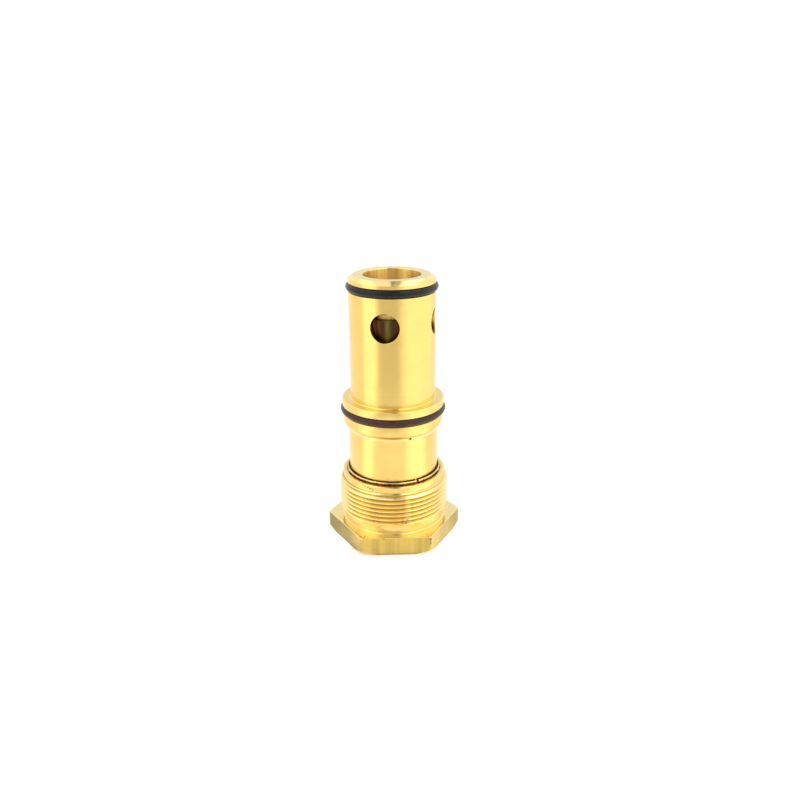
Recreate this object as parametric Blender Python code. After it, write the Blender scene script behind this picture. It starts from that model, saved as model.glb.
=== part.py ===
"""Cartridge valve: a pressure-holding check cartridge that screws into a port.

A turned sleeve with an open nose and four side ports floats in a hexagonal screw
plug. Inside it a spring-loaded piston carries a small check poppet, and a socket
screw in the plug sets the load of the main spring. Heights are measured up from
the hexagon's end face, along the valve's axis, and every size below is in
millimetres. The script builds one object for each piece.
"""

import math

import bmesh
import bpy
from mathutils import Matrix, Vector

MM = 0.001                      # metres in a millimetre
GAP = 0.3                       # clearance between pieces that touch or slide

# Driving dimensions of the screw plug
THREAD_RADIUS = 18.0            # M36
THREAD_PITCH = 1.5
THREAD_DEPTH = 0.92
THREAD_BOTTOM = 8.6             # first thread above the relief
THREAD_TOP = 20.9               # last thread below the collar
THREAD_START = 90               # degrees from +X, at the back
HEX_CORNER_RADIUS = 22.23
HEX_HEIGHT = 6.2
HEX_TURN = 1.8                  # degrees
HEX_CHAMFER_RADIUS = 20.2       # where the 30 degree chamfer of the end's corners starts
RELIEF_RADIUS = 17.0
COLLAR_RADIUS = 16.9
PLUG_TOP = 22.9
MOUTH_RADIUS = 15.5
MOUTH_DEPTH = 1.5
PLUG_FLOOR = 9.5                # floor of the plug's bore
SCREW_RECESS_RADIUS = 9.7
SCREW_RECESS_DEPTH = 3.5

# Driving dimensions of the sleeve
SLEEVE_TOP = 87.8
SLEEVE_BOTTOM = 10.0
TUBE_RADIUS = 13.69
TAIL_RADIUS = 14.62             # the part that floats in the plug
FLANGE_TOP = 48.15
FLANGE_RADIUS = 16.48
LOWER_LAND_RADIUS = 16.2
NOSE_BORE_RADIUS = 9.02
SEAT_HEIGHT = 79.5              # flat seat where the nose bore widens
BORE_RADIUS = 11.3              # the piston's bore
STOP_HEIGHT = 51.0              # shoulder that stops the piston's foot
CHAMBER_RADIUS = 12.2           # spring chamber
PORT_RADIUS = 4.47
PORT_HEIGHT = 73.74
PORT_COUNT = 4
PORT_TURN = -9.94               # degrees from the front, -Y, towards +X
VENT_RADIUS = 0.35
VENT_HEIGHT = 38.6
VENT_TURN = 20.6

# Seals: centre height, outer radius and section diameter
NOSE_SEAL = (84.15, 14.42, 2.5)
FLANGE_SEAL = (44.4, 17.04, 2.5)
GROOVE_WIDTH = 2.7

# Wire rings: centre height, centre radius and wire diameter
SNAP_RING = (23.4, 15.06, 0.84)
RETAINING_WIRE = (16.2, 14.77, 1.1)

# The piston and the poppet that it carries
PISTON_RADIUS = 11.0
PISTON_TOP = 75.8
PISTON_FOOT = 49.0
PISTON_FOOT_RADIUS = 11.9
CUP_RADIUS = 10.2
CUP_FLOOR = 72.4
STEM_RADIUS = 2.9
WEB_TOP = 66.0
WEB_BOTTOM = 61.6
PISTON_HOLLOW_RADIUS = 6.0
PISTON_SEAL = (63.6, 11.15, 1.9)
GUIDE_RING_SPAN = (54.4, 57.4)
POPPET_RADIUS = 9.9
POPPET_BOTTOM = 74.5
POPPET_TOP = 77.3
STEM_BOTTOM = 58.6

# The spring pack and its adjuster
SEAT_BOTTOM = 12.6
SEAT_TOP = 15.4
SEAT_RADIUS = 11.9
STOP_TUBE_RADIUS = 8.0
STOP_TUBE_BORE = 6.0
STOP_TUBE_TOP = 41.0
SHIM_THICKNESS = 0.8
MAIN_SPRING_RADIUS = 9.7        # to the middle of the wire
MAIN_SPRING_WIRE = 2.3
MAIN_SPRING_TURNS = 7.5
CHECK_SPRING_RADIUS = 4.4
CHECK_SPRING_WIRE = 0.8
CHECK_SPRING_TURNS = 5.5
ADJUSTER_RADIUS = 5.7
ADJUSTER_BOTTOM = 1.4
ADJUSTER_TOP = 11.3
ADJUSTER_SEAL = (8.1, 5.85, 1.2)
BALL_RADIUS = 2.5
BALL_HEIGHT = 12.0
LOCK_NUT_SPAN = (0.5, 3.1)
LOCK_NUT_CORNER_RADIUS = 9.24

# Facets around a turn
COARSE = 18
MEDIUM = 24
FINE = 36


def make_material(name, colour, metallic, roughness):
    """A Principled material."""
    material = bpy.data.materials.new(name)
    material.use_nodes = True
    shader = material.node_tree.nodes["Principled BSDF"]
    shader.inputs["Base Color"].default_value = (*colour, 1.0)
    shader.inputs["Metallic"].default_value = metallic
    shader.inputs["Roughness"].default_value = roughness
    return material


def make_object(name, mesh_data, material):
    """An object from a bmesh, with its faces pointing out and its round sides smooth."""
    bmesh.ops.remove_doubles(mesh_data, verts=mesh_data.verts, dist=1e-7)
    bmesh.ops.recalc_face_normals(mesh_data, faces=mesh_data.faces)
    mesh = bpy.data.meshes.new(name)
    mesh_data.to_mesh(mesh)
    mesh_data.free()
    mesh.shade_smooth()
    mesh.set_sharp_from_angle(angle=math.radians(32))
    piece = bpy.data.objects.new(name, mesh)
    bpy.context.scene.collection.objects.link(piece)
    if material:
        mesh.materials.append(material)
    return piece


def as_cutter(piece):
    """Marks a piece as a tool that only shapes other pieces."""
    piece.hide_render = True
    piece.display_type = "WIRE"
    return piece


def apply_boolean(piece, operation, tool):
    modifier = piece.modifiers.new(tool.name, "BOOLEAN")
    modifier.operation = operation
    modifier.object = tool


def ring_of_points(mesh_data, radius, height, segments, start=0.0):
    """One ring of vertices, counted from `start` radians."""
    points = []
    for index in range(segments):
        angle = start + math.tau * index / segments
        place = (radius * math.cos(angle) * MM, radius * math.sin(angle) * MM, height * MM)
        points.append(mesh_data.verts.new(place))
    return points


def bridge(mesh_data, lower, upper):
    """Faces between two rings, or between a ring and a single point."""
    count = max(len(lower), len(upper))
    for index in range(count):
        corners = [lower[index % len(lower)], lower[(index + 1) % len(lower)],
                   upper[(index + 1) % len(upper)], upper[index % len(upper)]]
        face = [corner for place, corner in enumerate(corners) if corner not in corners[:place]]
        mesh_data.faces.new(face)


def turned(name, outline, segments, material=None, closed=True):
    """A turned piece from (radius, height) points; a radius of 0 closes it on the axis.

    A closed outline joins its last point to its first, as in a ring. An open one
    starts and ends on the axis.
    """
    mesh_data = bmesh.new()
    rings = []
    for radius, height in outline:
        if radius == 0:
            rings.append([mesh_data.verts.new((0, 0, height * MM))])
        else:
            rings.append(ring_of_points(mesh_data, radius, height, segments))
    for lower, upper in zip(rings, rings[1:]):
        bridge(mesh_data, lower, upper)
    if closed:
        bridge(mesh_data, rings[-1], rings[0])
    return make_object(name, mesh_data, material)


def torus_outline(height, outer_radius, section, sides):
    """The round section of an O-ring or a wire ring."""
    middle = outer_radius - section / 2
    turns = [math.tau * (side + 0.5) / sides for side in range(sides)]
    return [(middle + section / 2 * math.cos(turn), height + section / 2 * math.sin(turn))
            for turn in turns]


def arc(centre_radius, centre_height, radius, start, end, steps):
    """Points on a round corner, from the start to the end angle in degrees."""
    turns = [math.radians(start + (end - start) * step / steps) for step in range(steps + 1)]
    return [(centre_radius + radius * math.cos(turn), centre_height + radius * math.sin(turn))
            for turn in turns]


def prism(name, corner_radius, bottom, top, sides, turn, material=None):
    """A straight prism with its corners at `turn` degrees."""
    mesh_data = bmesh.new()
    lower = ring_of_points(mesh_data, corner_radius, bottom, sides, math.radians(turn))
    upper = ring_of_points(mesh_data, corner_radius, top, sides, math.radians(turn))
    bridge(mesh_data, lower, upper)
    mesh_data.faces.new(lower)
    mesh_data.faces.new(upper)
    return make_object(name, mesh_data, material)


def radial_cutter(name, radius, height, turn, near, far, sides):
    """A rod that points out from the axis, `turn` degrees from -Y towards +X."""
    mesh_data = bmesh.new()
    length = (far - near) * MM
    bmesh.ops.create_cone(mesh_data, cap_ends=True, segments=sides, radius1=radius * MM,
                          radius2=radius * MM, depth=length)
    outward = Vector((math.sin(math.radians(turn)), -math.cos(math.radians(turn)), 0))
    middle = outward * (near + far) / 2 * MM + Vector((0, 0, height * MM))
    aim = outward.to_track_quat("Z", "Y").to_matrix().to_4x4()
    bmesh.ops.transform(mesh_data, matrix=Matrix.Translation(middle) @ aim, verts=mesh_data.verts)
    return as_cutter(make_object(name, mesh_data, None))


def coil_path(radius, bottom, top, wire, turns, steps_per_turn):
    """The middle line of a compression spring with one closed turn at each end."""
    points = []
    steps = round(turns * steps_per_turn)
    low = bottom + wire / 2
    high = top - wire / 2
    end_rise = wire * 1.04
    open_turns = turns - 2
    open_rise = (high - low - 2 * end_rise) / open_turns
    for step in range(steps + 1):
        turn = turns * step / steps
        climb = min(turn, 1) * end_rise
        climb += min(max(turn - 1, 0), open_turns) * open_rise
        climb += max(turn - 1 - open_turns, 0) * end_rise
        angle = math.tau * turn
        points.append(Vector((radius * math.cos(angle), radius * math.sin(angle), low + climb)))
    return points


def coil_spring(name, path, wire, sides, material):
    """A round wire swept along a coil about the vertical axis."""
    mesh_data = bmesh.new()
    rings = []
    for centre in path:
        outward = Vector((centre.x, centre.y, 0)).normalized()
        ring = []
        for side in range(sides):
            turn = math.tau * (side + 0.5) / sides
            offset = outward * math.cos(turn) + Vector((0, 0, math.sin(turn)))
            ring.append(mesh_data.verts.new((centre + offset * wire / 2) * MM))
        rings.append(ring)
    for lower, upper in zip(rings, rings[1:]):
        bridge(mesh_data, lower, upper)
    mesh_data.faces.new(rings[0])
    mesh_data.faces.new(rings[-1])
    return make_object(name, mesh_data, material)


def split_ring(name, outline, opening, middle, segments, material):
    """A ring with a gap of `opening` degrees; its middle is turned from -Y towards +X."""
    mesh_data = bmesh.new()
    sections = []
    for step in range(segments + 1):
        turn = math.radians(middle - 90 + opening / 2 + (360 - opening) * step / segments)
        section = [mesh_data.verts.new((radius * math.cos(turn) * MM, radius * math.sin(turn) * MM,
                                        height * MM)) for radius, height in outline]
        sections.append(section)
    for near, far in zip(sections, sections[1:]):
        bridge(mesh_data, near, far)
    mesh_data.faces.new(sections[0])
    mesh_data.faces.new(sections[-1])
    return make_object(name, mesh_data, material)


def groove(height, floor_radius, land_above, land_below, width=GROOVE_WIDTH):
    """A square groove in a turned outline that runs downwards."""
    top = height + width / 2
    bottom = height - width / 2
    return [(land_above, top), (floor_radius, top), (floor_radius, bottom), (land_below, bottom)]


def seal_floor(seal):
    """The radius of the groove's floor under an O-ring."""
    height, outer_radius, section = seal
    return outer_radius - section - GAP


def crest_limit(height):
    """The radius that the thread's crests reach: chamfered at both ends."""
    from_top = COLLAR_RADIUS + (THREAD_TOP - height)
    from_bottom = RELIEF_RADIUS + (height - THREAD_BOTTOM)
    return min(THREAD_RADIUS, max(from_top, COLLAR_RADIUS - 0.02),
               max(from_bottom, RELIEF_RADIUS - 0.02))


def thread_core():
    """The plug's round body: relief, external thread and collar.

    Each turn of the thread has four rows: the flank's foot and top on one side and
    on the other. A column of rows stands a little higher than the one before it,
    so the last column meets the first one a whole turn up.
    """
    mesh_data = bmesh.new()
    rows_per_turn = 4
    turns = int((THREAD_TOP - THREAD_BOTTOM) / THREAD_PITCH) - 1
    fractions = (0.0, 0.38, 0.5, 0.88)
    depths = (THREAD_DEPTH, 0.0, 0.0, THREAD_DEPTH)
    columns = []
    start = math.radians(THREAD_START)
    for index in range(FINE):
        angle = start + math.tau * index / FINE
        column = []
        for row in range(turns * rows_per_turn + 1):
            part = row % rows_per_turn
            rise = row // rows_per_turn + fractions[part] + index / FINE
            height = THREAD_BOTTOM + 0.15 + rise * THREAD_PITCH
            radius = min(THREAD_RADIUS - depths[part], crest_limit(height))
            column.append(mesh_data.verts.new((radius * math.cos(angle) * MM,
                                               radius * math.sin(angle) * MM, height * MM)))
        columns.append(column)
    for index in range(FINE - 1):
        near, far = columns[index], columns[index + 1]
        for row in range(len(near) - 1):
            mesh_data.faces.new((near[row], far[row], far[row + 1], near[row + 1]))
    first, last = columns[0], columns[-1]
    for row in range(len(last) - 1 - rows_per_turn):
        mesh_data.faces.new((last[row], first[row + rows_per_turn],
                             first[row + rows_per_turn + 1], last[row + 1]))
    foot = ring_of_points(mesh_data, RELIEF_RADIUS, THREAD_BOTTOM, FINE, start)
    relief = ring_of_points(mesh_data, RELIEF_RADIUS, HEX_HEIGHT / 2, FINE, start)
    neck = ring_of_points(mesh_data, COLLAR_RADIUS, THREAD_TOP + 0.2, FINE, start)
    edge = ring_of_points(mesh_data, COLLAR_RADIUS, PLUG_TOP - 0.25, FINE, start)
    rim = ring_of_points(mesh_data, COLLAR_RADIUS - 0.25, PLUG_TOP, FINE, start)
    for index in range(FINE - 1):
        mesh_data.faces.new((foot[index], foot[index + 1],
                             columns[index + 1][0], columns[index][0]))
        mesh_data.faces.new((columns[index][-1], columns[index + 1][-1],
                             neck[index + 1], neck[index]))
    mesh_data.faces.new([foot[-1], foot[0]] + first[:rows_per_turn + 1] + [last[0]])
    mesh_data.faces.new([neck[0], neck[-1]] + last[-1 - rows_per_turn:][::-1] + [first[-1]])
    bridge(mesh_data, relief, foot)
    bridge(mesh_data, neck, edge)
    bridge(mesh_data, edge, rim)
    mesh_data.faces.new(relief)
    mesh_data.faces.new(rim)
    return as_cutter(make_object("plug_core_shape", mesh_data, None))


def build_plug(brass):
    """Hexagon with its end's corners chamfered, the threaded core, and the stepped bore."""
    plug = prism("hex_plug", HEX_CORNER_RADIUS, -1, HEX_HEIGHT, 6, HEX_TURN, brass)
    outer_radius = HEX_CORNER_RADIUS + 1
    chamfer_height = (outer_radius - HEX_CHAMFER_RADIUS) * math.tan(math.radians(30))
    chamfer = as_cutter(turned("hex_chamfer_shape", [
        (0, 0), (HEX_CHAMFER_RADIUS, 0), (outer_radius, chamfer_height),
        (outer_radius, HEX_HEIGHT + 1), (0, HEX_HEIGHT + 1)], FINE, closed=False))
    apply_boolean(plug, "INTERSECT", chamfer)
    apply_boolean(plug, "UNION", thread_core())
    wire_height, wire_radius, wire = RETAINING_WIRE
    wire_groove = wire_radius + wire / 2 + GAP
    bore_radius = TAIL_RADIUS + GAP
    bore = as_cutter(turned("plug_bore_shape", [
        (0, PLUG_TOP + 1), (MOUTH_RADIUS + 0.25, PLUG_TOP + 1),
        (MOUTH_RADIUS + 0.25, PLUG_TOP + 0.01), (MOUTH_RADIUS, PLUG_TOP - 0.25),
        (MOUTH_RADIUS, PLUG_TOP - MOUTH_DEPTH),
        *groove(wire_height, wire_groove, bore_radius, bore_radius, wire + 2 * GAP),
        (bore_radius, PLUG_FLOOR), (ADJUSTER_RADIUS + GAP, PLUG_FLOOR),
        (ADJUSTER_RADIUS + GAP, SCREW_RECESS_DEPTH), (SCREW_RECESS_RADIUS, SCREW_RECESS_DEPTH),
        (SCREW_RECESS_RADIUS, -1), (0, -1)], FINE, closed=False))
    apply_boolean(plug, "DIFFERENCE", bore)


def sleeve_outline():
    """The sleeve's section: down its outside, then up its bore."""
    nose_height, _, _ = NOSE_SEAL
    flange_height, _, _ = FLANGE_SEAL
    snap_height, snap_radius, snap_wire = SNAP_RING
    wire_height, wire_radius, wire = RETAINING_WIRE
    outside = [
        (NOSE_BORE_RADIUS + 0.2, SLEEVE_TOP), (12.0, SLEEVE_TOP), (TUBE_RADIUS, SLEEVE_TOP - 1.2),
        *groove(nose_height, seal_floor(NOSE_SEAL), TUBE_RADIUS, TUBE_RADIUS),
        *arc(TUBE_RADIUS + 0.35, FLANGE_TOP + 0.35, 0.35, 180, 270, 2),
        *arc(FLANGE_RADIUS - 0.3, FLANGE_TOP - 0.3, 0.3, 90, 0, 2),
        *groove(flange_height, seal_floor(FLANGE_SEAL), FLANGE_RADIUS, LOWER_LAND_RADIUS),
        *arc(LOWER_LAND_RADIUS - 1.1, 40.0, 1.1, 0, -45, 2), (TAIL_RADIUS, 37.9),
        *groove(snap_height, snap_radius - snap_wire / 2 - 0.1, TAIL_RADIUS, TAIL_RADIUS,
                snap_wire + 0.2),
        *groove(wire_height, wire_radius - wire / 2 - GAP, TAIL_RADIUS, TAIL_RADIUS,
                wire + 2 * GAP),
        (TAIL_RADIUS, SLEEVE_BOTTOM + 0.6), (TAIL_RADIUS - 0.6, SLEEVE_BOTTOM)]
    inside = [
        (CHAMBER_RADIUS + 0.4, SLEEVE_BOTTOM), (CHAMBER_RADIUS, SLEEVE_BOTTOM + 0.7),
        (CHAMBER_RADIUS, STOP_HEIGHT), (BORE_RADIUS, STOP_HEIGHT), (BORE_RADIUS, SEAT_HEIGHT),
        (NOSE_BORE_RADIUS, SEAT_HEIGHT), (NOSE_BORE_RADIUS, SLEEVE_TOP - 0.2)]
    return outside + inside


def build_sleeve(brass):
    """The turned sleeve with its side ports and its pin-sized vent."""
    sleeve = turned("valve_sleeve", sleeve_outline(), FINE, brass)
    for number in range(PORT_COUNT):
        turn = PORT_TURN + 360 * number / PORT_COUNT
        apply_boolean(sleeve, "DIFFERENCE", radial_cutter(
            f"port_shape_{number}", PORT_RADIUS, PORT_HEIGHT, turn, 8, 18, COARSE))
    apply_boolean(sleeve, "DIFFERENCE", radial_cutter(
        "vent_shape", VENT_RADIUS, VENT_HEIGHT, VENT_TURN, 8, 18, 8))


def build_seals_and_rings(rubber, fluoro_rubber, steel):
    """The two outer O-rings, the visible snap ring and the wire inside the plug."""
    for name, seal, material in (("nose_o_ring", NOSE_SEAL, rubber),
                                 ("flange_o_ring", FLANGE_SEAL, fluoro_rubber)):
        turned(name, torus_outline(*seal, 8), FINE, material)
    for name, ring, opening, middle in (("snap_ring", SNAP_RING, 3, 30),
                                        ("retaining_wire", RETAINING_WIRE, 14, 180)):
        height, radius, wire = ring
        outline = torus_outline(height, radius + wire / 2, wire, 6)
        split_ring(name, outline, opening, middle, FINE, steel)


def build_piston(bronze, rubber, plastic):
    """The piston with its cup for the poppet, its seal and its guide ring."""
    seal_height, _, seal_section = PISTON_SEAL
    guide_bottom, guide_top = GUIDE_RING_SPAN
    guide_middle = (guide_bottom + guide_top) / 2
    spring_pocket = CHECK_SPRING_RADIUS + CHECK_SPRING_WIRE / 2 + GAP
    turned("piston", [
        (CUP_RADIUS, PISTON_TOP), (PISTON_RADIUS - 0.2, PISTON_TOP),
        (PISTON_RADIUS, PISTON_TOP - 0.2),
        *groove(seal_height, seal_floor(PISTON_SEAL), PISTON_RADIUS, PISTON_RADIUS,
                seal_section + 0.3),
        *groove(guide_middle, PISTON_RADIUS - 1.3, PISTON_RADIUS, PISTON_RADIUS,
                guide_top - guide_bottom + 0.4),
        (PISTON_RADIUS, STOP_HEIGHT - GAP), (PISTON_FOOT_RADIUS, STOP_HEIGHT - GAP),
        (PISTON_FOOT_RADIUS, PISTON_FOOT), (PISTON_HOLLOW_RADIUS, PISTON_FOOT),
        (PISTON_HOLLOW_RADIUS, WEB_BOTTOM), (STEM_RADIUS + GAP, WEB_BOTTOM),
        (STEM_RADIUS + GAP, WEB_TOP), (spring_pocket, WEB_TOP), (spring_pocket, CUP_FLOOR),
        (CUP_RADIUS, CUP_FLOOR)], MEDIUM, bronze)
    turned("piston_o_ring", torus_outline(*PISTON_SEAL, 6), MEDIUM, rubber)
    guide_outline = [(PISTON_RADIUS - 1.0, guide_bottom), (PISTON_RADIUS + 0.15, guide_bottom),
                     (PISTON_RADIUS + 0.15, guide_top), (PISTON_RADIUS - 1.0, guide_top)]
    split_ring("piston_guide_ring", guide_outline, 6, 120, MEDIUM, plastic)


def build_poppet(brass, rubber, steel):
    """The check poppet, its seat seal with washer and screw, its spring and its clip."""
    hole = 2.1
    clip_bottom = WEB_BOTTOM - GAP - 0.9
    turned("check_poppet", [
        (0, 69.5), (hole, 69.5), (hole, POPPET_TOP), (POPPET_RADIUS - 0.2, POPPET_TOP),
        (POPPET_RADIUS, POPPET_TOP - 0.2), (POPPET_RADIUS, POPPET_BOTTOM + 0.3),
        (POPPET_RADIUS - 0.3, POPPET_BOTTOM), (STEM_RADIUS, POPPET_BOTTOM),
        *groove(clip_bottom + 0.45, STEM_RADIUS - 0.8, STEM_RADIUS, STEM_RADIUS, 1.1),
        (STEM_RADIUS, STEM_BOTTOM + 0.4), (STEM_RADIUS - 0.4, STEM_BOTTOM), (0, STEM_BOTTOM)],
        MEDIUM, brass, closed=False)
    seal_bottom = POPPET_TOP + GAP
    seal_top = SEAT_HEIGHT - GAP
    turned("poppet_seal", [(hole, seal_bottom), (POPPET_RADIUS, seal_bottom),
                           (POPPET_RADIUS, seal_top), (hole, seal_top)], MEDIUM, rubber)
    washer_bottom = seal_top + GAP
    washer_top = washer_bottom + 0.9
    turned("seal_retainer", [(hole, washer_bottom), (7.6, washer_bottom), (7.6, washer_top - 0.2),
                             (7.4, washer_top), (hole, washer_top)], MEDIUM, steel)
    head_bottom = washer_top + 0.1
    screw = turned("retainer_screw", [
        (0, 70.0), (1.6, 70.0), (1.8, 70.3), (1.8, head_bottom), (3.5, head_bottom),
        (3.5, head_bottom + 1.3), (2.9, head_bottom + 2.0), (0, head_bottom + 2.0)],
        COARSE, steel, closed=False)
    apply_boolean(screw, "DIFFERENCE", as_cutter(prism(
        "screw_socket_shape", 1.45, head_bottom + 0.6, head_bottom + 3, 6, 0)))
    path = coil_path(CHECK_SPRING_RADIUS, WEB_TOP + 0.15, POPPET_BOTTOM - 0.15,
                     CHECK_SPRING_WIRE, CHECK_SPRING_TURNS, 10)
    coil_spring("check_spring", path, CHECK_SPRING_WIRE, 5, steel)
    clip_outline = [(STEM_RADIUS - 0.5, clip_bottom), (STEM_RADIUS + 1.6, clip_bottom),
                    (STEM_RADIUS + 1.6, clip_bottom + 0.9), (STEM_RADIUS - 0.5, clip_bottom + 0.9)]
    split_ring("stem_circlip", clip_outline, 60, 0, COARSE, steel)


def build_spring_pack(brass, steel):
    """The spring seat with its stop tube, the shim and the main spring."""
    pocket = BALL_RADIUS + GAP
    turned("spring_seat", [
        (0, BALL_HEIGHT + pocket), (1.2, BALL_HEIGHT + pocket - 0.3), (pocket, SEAT_BOTTOM + 0.3),
        (pocket, SEAT_BOTTOM), (SEAT_RADIUS - 0.3, SEAT_BOTTOM), (SEAT_RADIUS, SEAT_BOTTOM + 0.3),
        (SEAT_RADIUS, SEAT_TOP), (STOP_TUBE_RADIUS, SEAT_TOP),
        (STOP_TUBE_RADIUS, STOP_TUBE_TOP - 0.4), (STOP_TUBE_RADIUS - 0.4, STOP_TUBE_TOP),
        (STOP_TUBE_BORE, STOP_TUBE_TOP), (STOP_TUBE_BORE, SEAT_TOP + 2.6), (0, SEAT_TOP + 2.6)],
        MEDIUM, brass, closed=False)
    shim_bottom = SEAT_TOP + 0.1
    shim_top = shim_bottom + SHIM_THICKNESS
    turned("preload_shim", [(STOP_TUBE_RADIUS + GAP, shim_bottom), (SEAT_RADIUS, shim_bottom),
                            (SEAT_RADIUS, shim_top), (STOP_TUBE_RADIUS + GAP, shim_top)],
           MEDIUM, steel)
    path = coil_path(MAIN_SPRING_RADIUS, shim_top + 0.15, PISTON_FOOT - 0.15,
                     MAIN_SPRING_WIRE, MAIN_SPRING_TURNS, 14)
    coil_spring("main_spring", path, MAIN_SPRING_WIRE, 6, steel)


def build_adjuster(steel, rubber):
    """The socket screw in the plug's floor, its seal, the thrust ball and the lock nut."""
    seal_height, _, seal_section = ADJUSTER_SEAL
    pocket = BALL_RADIUS + GAP
    screw = turned("adjusting_screw", [
        (0, BALL_HEIGHT - pocket), (1.2, BALL_HEIGHT - pocket + 0.3), (pocket, ADJUSTER_TOP - 0.3),
        (pocket, ADJUSTER_TOP), (ADJUSTER_RADIUS - 0.4, ADJUSTER_TOP),
        (ADJUSTER_RADIUS, ADJUSTER_TOP - 0.4),
        *groove(seal_height, seal_floor(ADJUSTER_SEAL) + 0.1, ADJUSTER_RADIUS, ADJUSTER_RADIUS,
                seal_section + 0.3),
        (ADJUSTER_RADIUS, ADJUSTER_BOTTOM + 0.4), (ADJUSTER_RADIUS - 0.4, ADJUSTER_BOTTOM),
        (0, ADJUSTER_BOTTOM)], COARSE, steel, closed=False)
    apply_boolean(screw, "DIFFERENCE", as_cutter(prism(
        "adjuster_socket_shape", 3.46, -1, ADJUSTER_BOTTOM + 4, 6, 0)))
    turned("adjusting_screw_o_ring", torus_outline(*ADJUSTER_SEAL, 6), COARSE, rubber)
    ball_steps = 6
    ball = [(0 if step in (0, ball_steps) else BALL_RADIUS * math.sin(math.pi * step / ball_steps),
             BALL_HEIGHT - BALL_RADIUS * math.cos(math.pi * step / ball_steps))
            for step in range(ball_steps + 1)]
    turned("thrust_ball", ball, 12, steel, closed=False)
    bottom, top = LOCK_NUT_SPAN
    nut = prism("lock_nut", LOCK_NUT_CORNER_RADIUS, bottom, top, 6, 12, steel)
    bore = as_cutter(turned("lock_nut_bore_shape", [
        (0, bottom - 1), (ADJUSTER_RADIUS + 1.3, bottom - 1), (ADJUSTER_RADIUS + GAP, bottom + 0.4),
        (ADJUSTER_RADIUS + GAP, top + 1), (0, top + 1)], COARSE, closed=False))
    apply_boolean(nut, "DIFFERENCE", bore)


def clear_scene():
    for piece in list(bpy.data.objects):
        bpy.data.objects.remove(piece)


def build():
    clear_scene()
    brass = make_material("turned_brass", (0.80, 0.58, 0.22), 1.0, 0.28)
    bronze = make_material("dark_bronze", (0.16, 0.09, 0.05), 1.0, 0.35)
    steel = make_material("spring_steel", (0.55, 0.56, 0.58), 1.0, 0.3)
    rubber = make_material("black_rubber", (0.012, 0.012, 0.013), 0.0, 0.3)
    fluoro_rubber = make_material("brown_rubber", (0.045, 0.02, 0.012), 0.0, 0.4)
    plastic = make_material("guide_plastic", (0.03, 0.16, 0.14), 0.0, 0.5)
    build_plug(brass)
    build_sleeve(brass)
    build_seals_and_rings(rubber, fluoro_rubber, steel)
    build_piston(bronze, rubber, plastic)
    build_poppet(brass, rubber, steel)
    build_spring_pack(brass, steel)
    build_adjuster(steel, rubber)


build()
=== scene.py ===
"""Finished looks of the cartridge valve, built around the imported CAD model.

Every CAD node gets a finely turned, swept or cut piece in its place, with its own
procedural material. Outlines are in millimetres, as (radius, height) points.
"""

import math

import bmesh
import bpy
from mathutils import Matrix, Vector


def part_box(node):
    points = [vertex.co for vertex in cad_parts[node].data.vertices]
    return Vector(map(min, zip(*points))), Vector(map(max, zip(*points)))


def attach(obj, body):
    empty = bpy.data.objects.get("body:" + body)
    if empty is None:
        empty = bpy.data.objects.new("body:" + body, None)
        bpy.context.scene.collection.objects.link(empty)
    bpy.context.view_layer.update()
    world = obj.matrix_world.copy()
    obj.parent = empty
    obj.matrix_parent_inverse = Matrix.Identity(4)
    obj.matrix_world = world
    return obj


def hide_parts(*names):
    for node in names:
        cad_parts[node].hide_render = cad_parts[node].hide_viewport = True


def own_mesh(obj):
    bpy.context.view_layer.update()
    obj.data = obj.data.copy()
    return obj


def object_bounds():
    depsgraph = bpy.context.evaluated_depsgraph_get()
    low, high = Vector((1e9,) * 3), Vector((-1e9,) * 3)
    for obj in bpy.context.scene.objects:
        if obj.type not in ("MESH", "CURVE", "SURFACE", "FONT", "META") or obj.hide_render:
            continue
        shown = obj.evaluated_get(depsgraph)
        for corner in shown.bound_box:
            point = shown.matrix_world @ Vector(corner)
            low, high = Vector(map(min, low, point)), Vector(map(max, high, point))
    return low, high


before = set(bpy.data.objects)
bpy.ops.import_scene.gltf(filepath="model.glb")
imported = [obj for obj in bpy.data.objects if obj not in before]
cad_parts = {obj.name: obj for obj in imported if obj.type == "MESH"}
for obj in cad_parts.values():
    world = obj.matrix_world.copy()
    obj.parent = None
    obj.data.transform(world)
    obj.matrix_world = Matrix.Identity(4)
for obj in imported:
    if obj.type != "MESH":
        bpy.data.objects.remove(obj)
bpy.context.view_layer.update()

MM = 0.001
TURNED_SEGMENTS = 160
SMALL_SEGMENTS = 96
COIL_STEPS = 48                 # in each turn of a spring
COIL_SIDES = 16
WIRE_SIDES = 20
GROUND_OFF = 0.35               # middle of a spring's end turn above its foot, in wires
END_RISE = 0.9                  # of a spring's closed turns, in wires
STRAIGHT = 3                    # degrees: a corner that turns less stays as it is
ARC_STEP = 18                   # degrees
SHARP_ANGLE = 45                # degrees between faces, from which an edge isn't smooth
SAME_SPOT = 1e-8                # metres
ON_AXIS = 1e-6                  # millimetres


# ---------------------------------------------------------------- the frame's sizes

class Extent:
    """The lowest and highest height and the outer radius of a CAD node, in millimetres."""

    def __init__(self, node):
        low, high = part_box(node)
        self.bottom = low.z / MM
        self.top = high.z / MM
        self.radius = max(high.x, -low.x, high.y, -low.y) / MM


# ---------------------------------------------------------------- outlines

def rounded(points, closed=True):
    """Turns (radius, height, corner radius) points into an outline with round corners."""
    outline = []
    last = len(points) - 1
    for index, point in enumerate(points):
        here = Vector(point[:2])
        if len(point) < 3 or not closed and index in (0, last):
            outline.append(tuple(here))
            continue
        back = Vector(points[index - 1][:2]) - here
        ahead = Vector(points[index - last][:2]) - here
        outline += corner_arc(here, back.normalized(), ahead.normalized(), point[2])
    return outline


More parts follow.
